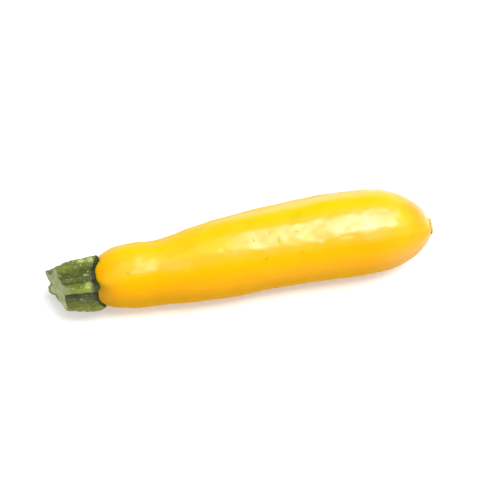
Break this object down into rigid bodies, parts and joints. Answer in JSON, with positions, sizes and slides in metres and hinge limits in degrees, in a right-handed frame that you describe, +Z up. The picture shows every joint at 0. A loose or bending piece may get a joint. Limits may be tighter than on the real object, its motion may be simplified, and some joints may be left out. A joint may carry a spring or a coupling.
{
  "type": "yellow zucchini",
  "caption": "Yellow zucchini lying on its side: a slightly bent fruit, fuller towards the blossom end, with a ridged green cut stem and a small corky scar.",
  "frame": {"origin": "on the surface that it lies on, under the middle of the whole thing's box", "axes": "+X from the cut stem towards the blossom end, +Y to the side that the fruit bends to, +Z up"},
  "size_m": [0.2042, 0.046, 0.0458],
  "materials": {
    "skin_yellow": "smooth waxy skin with a soft gloss",
    "peduncle_green": "rough, ribbed and finely speckled",
    "scar_cork": "dry and corky"
  },
  "bodies": {
    "root": {"fruit": "skin_yellow", "stem": "peduncle_green", "blossom_scar": "scar_cork"}
  },
  "joints": []
}
